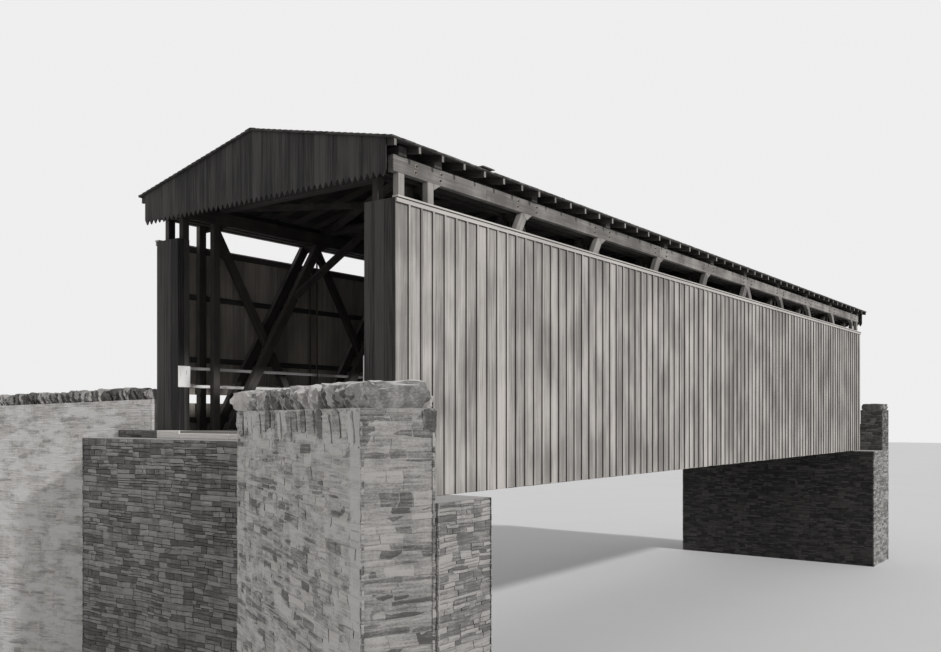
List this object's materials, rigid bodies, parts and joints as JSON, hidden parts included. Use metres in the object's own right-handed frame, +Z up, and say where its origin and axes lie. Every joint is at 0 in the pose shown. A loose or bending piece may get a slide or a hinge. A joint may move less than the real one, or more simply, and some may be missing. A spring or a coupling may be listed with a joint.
{
  "type": "covered bridge",
  "caption": "Timber covered bridge on rubble stone abutments, with Howe trusses, vertical board siding, an open slot under the eaves and a low shingled gable roof.",
  "frame": {"origin": "on the level of the masonry's foot, at the middle of the whole part's outline in plan", "axes": "+X along the bridge from the front portal to the back one, +Z up; -Y is the bridge's right side, seen when entering at the front"},
  "size_m": [35.57, 17.4012, 11.082],
  "materials": {
    "stone": "rough rubble in thin courses",
    "coping_stone": "rough upright stones",
    "sill_stone": "worn, pale",
    "siding_timber": "weathered grey boards",
    "portal_timber": "dark stained boards",
    "truss_timber": "sawn timber, greyed",
    "deck_timber": "worn planks",
    "shingles": "weathered wood shingles",
    "rail_paint": "pale paint",
    "iron": "dull, lightly rusted"
  },
  "bodies": {
    "root": {"angle_blocks": "truss_timber", "back_abutment": "stone", "back_copings": "coping_stone", "back_gable_fascia": "portal_timber", "back_left_parapet": "stone", "back_left_portal_panel": "portal_timber", "back_right_parapet": "stone", "back_right_portal_panel": "portal_timber", "back_sill": "sill_stone", "bed_timbers": "truss_timber", "bolsters": "truss_timber", "bottom_laterals": "truss_timber", "deck_planks": "deck_timber", "end_posts": "truss_timber", "floor_beams": "truss_timber", "front_abutment": "stone", "front_gable_fascia": "portal_timber", "front_left_coping": "coping_stone", "front_left_portal_panel": "portal_timber", "front_left_wing_wall": "stone", "front_right_coping": "coping_stone", "front_right_portal_panel": "portal_timber", "front_right_wing_wall": "stone", "front_sill": "sill_stone", "guard_rails": "rail_paint", "knee_braces": "truss_timber", "left_bottom_chord": "truss_timber", "left_counter_braces": "truss_timber", "left_main_braces": "truss_timber", "left_roof_slope": "shingles", "left_siding": "siding_timber", "left_top_chord": "truss_timber", "rafter_plates": "truss_timber", "rafters": "truss_timber", "right_bottom_chord": "truss_timber", "right_counter_braces": "truss_timber", "right_main_braces": "truss_timber", "right_roof_slope": "shingles", "right_siding": "siding_timber", "right_top_chord": "truss_timber", "siding_caps": "siding_timber", "siding_girts": "truss_timber", "tie_beams": "truss_timber", "top_laterals": "truss_timber", "truss_rods": "iron"}
  },
  "joints": []
}
